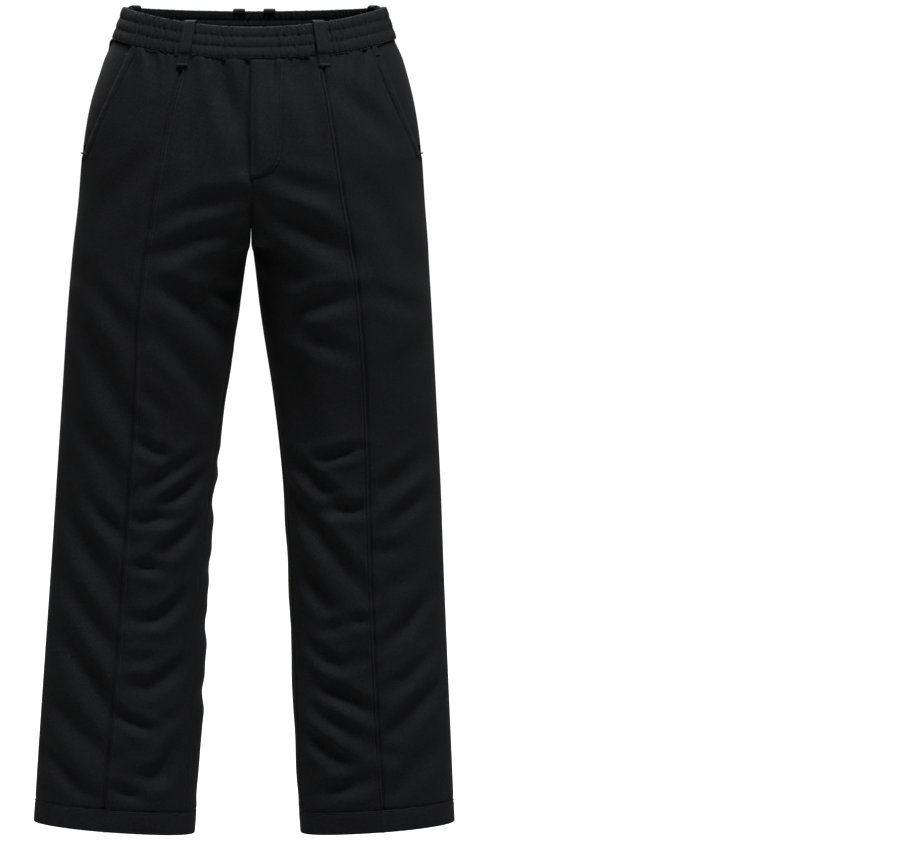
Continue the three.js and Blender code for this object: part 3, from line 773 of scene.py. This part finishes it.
# Fly: a cloth shield whose folded edge stands proud of the centre and whose other edge
# sinks into the front at its curved stitching.
def makeFly():
    v = np.linspace(0, 1, 120)[:, None]
    u = np.linspace(0, 1, 38)[None, :]
    level = -44.3 + (-188.0 + 44.3) * v + 0 * u
    edge = np.maximum(flyStitch(level) + 2.4, 2.0)
    x = -3.4 + (edge + 3.4) * u
    toEdge = np.minimum((edge - x), (level + 188.3) * 1.4)
    thick = 2.3 - 1.45 * (1 - ease(toEdge, 0.0, 9.0))
    fold = -1.1 * bell(x + 3.4, 0.7)
    top = -0.5 * bell(level + 44.3, 1.5)
    soft = 0.3 * np.sin(level * 0.07 + 0.1 * x)
    outer = onFace("front", x, level, thick + fold + top + soft)
    inner = onFace("front", x, level, 0.35 + 0 * x)
    return wall("fly_placket_shield", outer, inner, trimCloth)


# Back pocket: a single welt with a gently arched top, its slit just above.
backPocket = {"inner": 40.0, "outer": 160.0, "top": -83.0, "arch": 4.0, "high": 12.0}


def backArch(share):
    return backPocket["top"] + backPocket["arch"] * 4 * share * (1 - share)


def makeBackWelt(side):
    u = np.linspace(0, 1, 90)[None, :]
    v = np.linspace(0, 1, 16)[:, None]
    level = backArch(u) - backPocket["high"] * v
    x = side * (backPocket["inner"] + (backPocket["outer"] - backPocket["inner"]) * u) + 0 * v
    rounded = 0.7 * np.sin(np.pi * np.clip(v, 0, 1)) ** 0.5 + 0 * u
    ends = -0.6 * (bell(u * 120, 1.2) + bell((1 - u) * 120, 1.2)) + 0 * v
    outer = onFace("back", x, level, 1.25 + rounded + ends)
    inner = onFace("back", x, level, 0.35 + 0 * x)
    return wall(f"back_welt_{sideNames[side]}_strip", outer, inner, trimCloth)


print("stage: pockets and fly")
for side in (-1, 1):
    keep(makeFacing(side), f"hip_facing_{sideNames[side]}")
    keep(makeWelt(side), f"pocket_welt_{sideNames[side]}")
    keep(makeBackWelt(side), f"back_welt_{sideNames[side]}")
keep(makeFly(), "fly_placket")

# Belt loops: a strap from behind the waistband, over its top, down to a tack on the panel.
loop = {"wide": 15.0, "thick": 1.6, "gap": 3.6, "rise": 3.2,
        "front": (0.46, -1, -52.0), "side": (0.92, 1, -36.0), "back": (0.118, 1, -36.0)}


# Centre line of a loop as distance out and height, with its frame at the waistband.
def loopRoute(kind, side):
    across, sign, foot = loop[kind]
    theta = np.array(sign * np.arccos(side * across))
    s, angle, level, top, seam = (float(v) for v in bandPlace(theta, 0.5))
    n = outward(s, np.array(angle), np.array((top + seam) / 2))
    n[2] = 0
    n /= np.linalg.norm(n)
    stand = 2.3 + loop["gap"] + loop["thick"] / 2
    flat = 1.1 + loop["thick"] / 2
    crown = top + loop["rise"]
    z = np.array([top - 2.4, top + 0.4, crown - 1.6, crown - 0.8, crown - 1.6,
                  top - 0.5, (top * 2 + seam) / 3, (top + seam * 2) / 3, seam + 5, seam + 0.5,
                  (seam * 2 + foot) / 3 - 1, foot])
    lift = np.array([-3.6, -3.4, -2.0, 1, stand - 3, stand - 0.5, stand, stand, stand - 0.6, stand - 3,
                     flat + 0.8, flat])
    base = bodyPoint(s, np.full(12, angle), z)
    centre = base + n * lift[:, None]
    centre[:, 2] = z
    return centre, n


# The loop's route made smooth: cubic pieces through its points.
def smoothRoute(points, steps):
    t = np.linspace(0, len(points) - 1, steps)
    i = np.clip(t.astype(int), 0, len(points) - 2)
    f = (t - i)[:, None]
    p0, p1 = points[np.maximum(i - 1, 0)], points[i]
    p2, p3 = points[i + 1], points[np.minimum(i + 2, len(points) - 1)]
    return 0.5 * ((2 * p1) + (p2 - p0) * f + (2 * p0 - 5 * p1 + 4 * p2 - p3) * f ** 2
                  + (3 * p1 - p0 - 3 * p2 + p3) * f ** 3)


def makeLoop(kind, side):
    points, n = loopRoute(kind, side)
    line = smoothRoute(points, 90)
    sideways = np.array([-n[1], n[0], 0.0])
    run = np.gradient(line, axis=0)
    run /= np.linalg.norm(run, axis=1, keepdims=True)
    through = np.cross(run, sideways)
    through *= np.sign(np.sum(through[45] * n))
    u = np.linspace(-1, 1, 17)
    rounded = np.sqrt(np.maximum(1 - np.abs(u) ** 9, 0)) * 0.75 + 0.25
    groove = -0.28 * (bell((np.abs(u) - 0.62) * loop["wide"] / 2, 0.5))
    outerLift = loop["thick"] / 2 * rounded + groove
    innerLift = -loop["thick"] / 2 * rounded
    across = sideways[None, None, :] * (u * loop["wide"] / 2)[None, :, None]
    outer = line[:, None, :] + across + through[:, None, :] * outerLift[None, :, None]
    inner = line[:, None, :] + across + through[:, None, :] * innerLift[None, :, None]
    strap = wall(f"belt_loop_{kind}_{sideNames[side]}_strap", outer, inner, trimCloth)
    return strap, line, through, sideways


# Stitches: each a thin six-sided spindle of three rings and two tips, laid along a line.
def stitches(name, rows, thick=0.34, length=2.3, pitch=3.1):
    verts, faces, offset = [], [], 0
    for line, out in rows:
        steps = np.linalg.norm(np.diff(line, axis=0), axis=1)
        s = np.concatenate([[0], np.cumsum(steps)])
        centres = np.arange(pitch / 2, s[-1], pitch)
        if not len(centres):
            continue

        def pick(values, at):
            return np.stack([np.interp(at, s, values[:, k]) for k in range(3)], 1)

        mid = pick(line, centres)
        run = pick(line, np.minimum(centres + 1, s[-1])) - pick(line, np.maximum(centres - 1, 0))
        run /= np.linalg.norm(run, axis=1, keepdims=True) + 1e-9
        n = pick(out, centres)
        n /= np.linalg.norm(n, axis=1, keepdims=True) + 1e-9
        b = np.cross(run, n)
        ring = np.arange(6) * np.pi / 3
        along3 = np.array([-0.38, 0.0, 0.38]) * length
        size = np.array([0.75, 1.0, 0.75]) * thick
        circle = (np.cos(ring)[None, :, None] * b[:, None, :]
                  + np.sin(ring)[None, :, None] * n[:, None, :])
        body = (mid[:, None, None, :] + run[:, None, None, :] * along3[None, :, None, None]
                + circle[:, None, :, :] * size[None, :, None, None])
        tips = mid[:, None, :] + run[:, None, :] * np.array([-0.5, 0.5])[None, :, None] * length
        tips = tips - n[:, None, :] * thick * 0.5
        count = len(centres)
        block = np.concatenate([body.reshape(count, 18, 3), tips], axis=1)
        k = np.arange(6)
        k2 = (k + 1) % 6
        quads = [(r * 6 + k, r * 6 + k2, (r + 1) * 6 + k2, (r + 1) * 6 + k) for r in (0, 1)]
        pattern = np.concatenate([np.stack(q, 1) for q in quads])
        ends = np.concatenate([np.stack([k2, k, np.full(6, 18)], 1),
                               np.stack([12 + k, 12 + k2, np.full(6, 19)], 1)])
        starts = offset + np.arange(count)[:, None, None] * 20
        faces += (pattern[None] + starts).reshape(-1, 4).tolist()
        faces += (ends[None] + starts).reshape(-1, 3).tolist()
        verts.append(block.reshape(-1, 3))
        offset += count * 20
    return makeMesh(name, np.concatenate(verts), faces, threadLook)


print("stage: belt loops")
loopRows, tackRows = [], []
for kind in ("front", "side", "back"):
    for side in (-1, 1):
        strap, line, through, sideways = makeLoop(kind, side)
        keep(strap, f"belt_loop_{kind}_{sideNames[side]}")
        for edge in (-0.62, 0.62):
            beside = sideways * edge * loop["wide"] / 2
            row = line[8:] + beside + through[8:] * (loop["thick"] / 2 - 0.12)
            loopRows.append((row, through[8:]))
        for rise in (-1.6, -2.3, -3.0):
            span = np.linspace(-6.3, 6.3, 30)[:, None]
            low = line[-1] - np.array([0, 0, rise])
            row = low + sideways * span + through[-1] * (loop["thick"] / 2 + 0.2)
            tackRows.append((row, np.repeat(through[-1:], 30, 0)))

# Seam lines on the panels as lists of x, level places.
def faceRow(face, x, level, lift=0.25):
    side = np.where(x < 0, -1.0, 1.0)
    angle = angleAt(x, level) * (1 if face == "front" else -1)
    return onFace(face, x, level, lift), outward(side, angle, level)


def legRow(side, face, angle, level, lift=0.2):
    return skin(side, face, angle, level, lift), outward(side, angle, level)


print("stage: stitching")
seamRows = []
level = np.linspace(-46, -187, 140)
seamRows.append(faceRow("front", np.maximum(flyStitch(level), 0.5), level, 1.0))
for side in (-1, 1):
    level = np.linspace(-54, cut["hem"] + 2, 640)
    angle = creaseAngle(side, level) + 3.2 / 104
    upper = level > cut["hem"] + cut["hemHigh"]
    seamRows.append(legRow(side, "front", angle[upper], level[upper], 0.12))
    level = np.linspace(-30, pocket["footZ"] + 1, 60)
    x = side * (pocketEdge(level) - pocket["welt"])
    seamRows.append(faceRow("front", x, level, 0.1))
    around = np.linspace(-np.pi, np.pi, 500)
    level = np.full(500, cut["hem"] + cut["hemHigh"] - 3.0)
    n = outward(side, around, level)
    seamRows.append((bodyPoint(side, around, level) - n * 0.45, n))
    u = np.linspace(0, 1, 60)
    x = side * (backPocket["inner"] - 1.5 + (backPocket["outer"] - backPocket["inner"] + 3) * u)
    seamRows.append(faceRow("back", x, backArch(u) + 2.6, 0.3))
    seamRows.append(faceRow("back", x, backArch(u) - backPocket["high"] - 1.6, 0.3))
    for end in (x[0], x[-1]):
        level = np.linspace(backPocket["top"] + 2.6, backPocket["top"] - backPocket["high"] - 1.6, 12)
        tackRows.append(faceRow("back", np.full(12, end), level, 0.5))
    for z0, across in ((pocket["topZ"], 1), (pocket["footZ"] + 3, 0)):
        for k in (-0.8, 0.0, 0.8):
            span = np.linspace(-6.5, 1.5, 12)
            x = side * (pocketEdge(z0) + span)
            tackRows.append(faceRow("front", x, np.full(12, z0 + k), 1.3))
bandRows = []
for drop in (0.03,) + band["stitchRows"] + (0.975,):
    theta = np.linspace(0, 2 * np.pi, 1800)
    side, angle, level, top, foot = bandPlace(theta, np.full(1800, drop))
    row = bandSurface(theta, np.full(1800, drop), np.full(1800, 0.05))
    bandRows.append((row, outward(side, angle, level)))
threads = {"seam_stitches": stitches("seam_stitches", seamRows),
           "band_stitches": stitches("band_stitches", bandRows, thick=0.3, length=2.0, pitch=2.6),
           "loop_stitches": stitches("loop_stitches", loopRows, thick=0.28, length=2.0, pitch=2.7),
           "bartacks": stitches("bartacks", tackRows, thick=0.36, length=1.5, pitch=0.8)}
for piece in threads.values():
    keep(piece, None)


# Studio: a dim surround, a pale floor that rises far away, a broad key from above the front
# and one from above the back, a low fill and two faint side lights.
studio = {"floor": -1.12, "floorHalf": 34.0, "flat": 10.0, "rise": 9.0,
          "surround": 0.07, "floorGlow": 1.0}


def makeFloor():
    half = studio["floorHalf"] / mm
    z = studio["floor"] / mm
    grid = np.linspace(-half, half, 81)
    x, y = np.meshgrid(grid, grid)
    z = z + ease(np.hypot(x, y), studio["flat"] / mm, half) * studio["rise"] / mm
    verts = np.stack([x, y, z], -1).reshape(-1, 3)
    index = np.arange(81 * 81).reshape(81, 81)
    faces = np.stack([index[:-1, :-1], index[:-1, 1:], index[1:, 1:], index[1:, :-1]], -1).reshape(-1, 4)
    material = bpy.data.materials.new("pale_floor")
    material.use_nodes = True
    shader = material.node_tree.nodes["Principled BSDF"]
    shader.inputs["Base Color"].default_value = (0.34, 0.34, 0.34, 1)
    shader.inputs["Roughness"].default_value = 0.9
    shader.inputs["Specular IOR Level"].default_value = 0.1
    shader.inputs["Emission Color"].default_value = (1, 1, 1, 1)
    shader.inputs["Emission Strength"].default_value = studio["floorGlow"]
    return makeMesh("floor", verts, faces, material)


floor = makeFloor()
# the floor's glow lights the floor alone, so the folds keep their shade
glowOnly = bpy.data.collections.new("floor_glow")
glowOnly.objects.link(floor)
floor.light_linking.receiver_collection = glowOnly
world = bpy.data.worlds.new("surround")
bpy.context.scene.world = world
world.use_nodes = True
world.node_tree.nodes["Background"].inputs["Color"].default_value = (1, 1, 1, 1)
world.node_tree.nodes["Background"].inputs["Strength"].default_value = studio["surround"]

softBoxes = [
    # name, place, aim, width, height, watts
    ("key", (0.35, -1.35, 2.9), (0, 0, -0.45), 1.3, 0.7, 200),
    ("fill", (1.9, -3.2, 0.9), (0, 0, -0.55), 1.0, 1.4, 7),
    ("back_key", (-0.35, 1.45, 2.9), (0, 0, -0.45), 1.3, 0.7, 210),
    ("side_left", (-3.2, 0.4, 0.6), (0, 0, -0.5), 0.7, 1.8, 2.5),
    ("side_right", (3.2, 0.4, 0.6), (0, 0, -0.5), 0.7, 1.8, 5),
]


# Turns an object so that its -Z axis looks at a place.
def aimAt(thing, target):
    direction = mathutils.Vector(target) - thing.location
    thing.rotation_euler = direction.to_track_quat("-Z", "Y").to_euler()


for name, place, target, wide, high, watts in softBoxes:
    lamp = bpy.data.lights.new(name, "AREA")
    lamp.shape = "RECTANGLE"
    lamp.size, lamp.size_y, lamp.energy = wide, high, watts
    box = bpy.data.objects.new(name, lamp)
    box.location = place
    bpy.context.scene.collection.objects.link(box)
    aimAt(box, target)

# Camera: level with the waist, five metres off, looking at the middle of the garment.
view = {"distance": 5.0, "elevation": 6.0, "centre": (0.0, 0.0, -0.510), "lens": 158.7, "shiftX": 0.22}
camera = bpy.data.cameras.new("camera")
camera.lens = view["lens"]
camera.sensor_width = 36.0
camera.shift_x = view["shiftX"]
camera.clip_end = 100.0
eye = bpy.data.objects.new("camera", camera)
lift = np.radians(view["elevation"])
eye.location = (view["centre"][0], view["centre"][1] - view["distance"] * np.cos(lift),
                view["centre"][2] + view["distance"] * np.sin(lift))
bpy.context.scene.collection.objects.link(eye)
aimAt(eye, view["centre"])
bpy.context.scene.camera = eye
bpy.context.scene.view_settings.view_transform = "Standard"
print("stage: studio and camera")
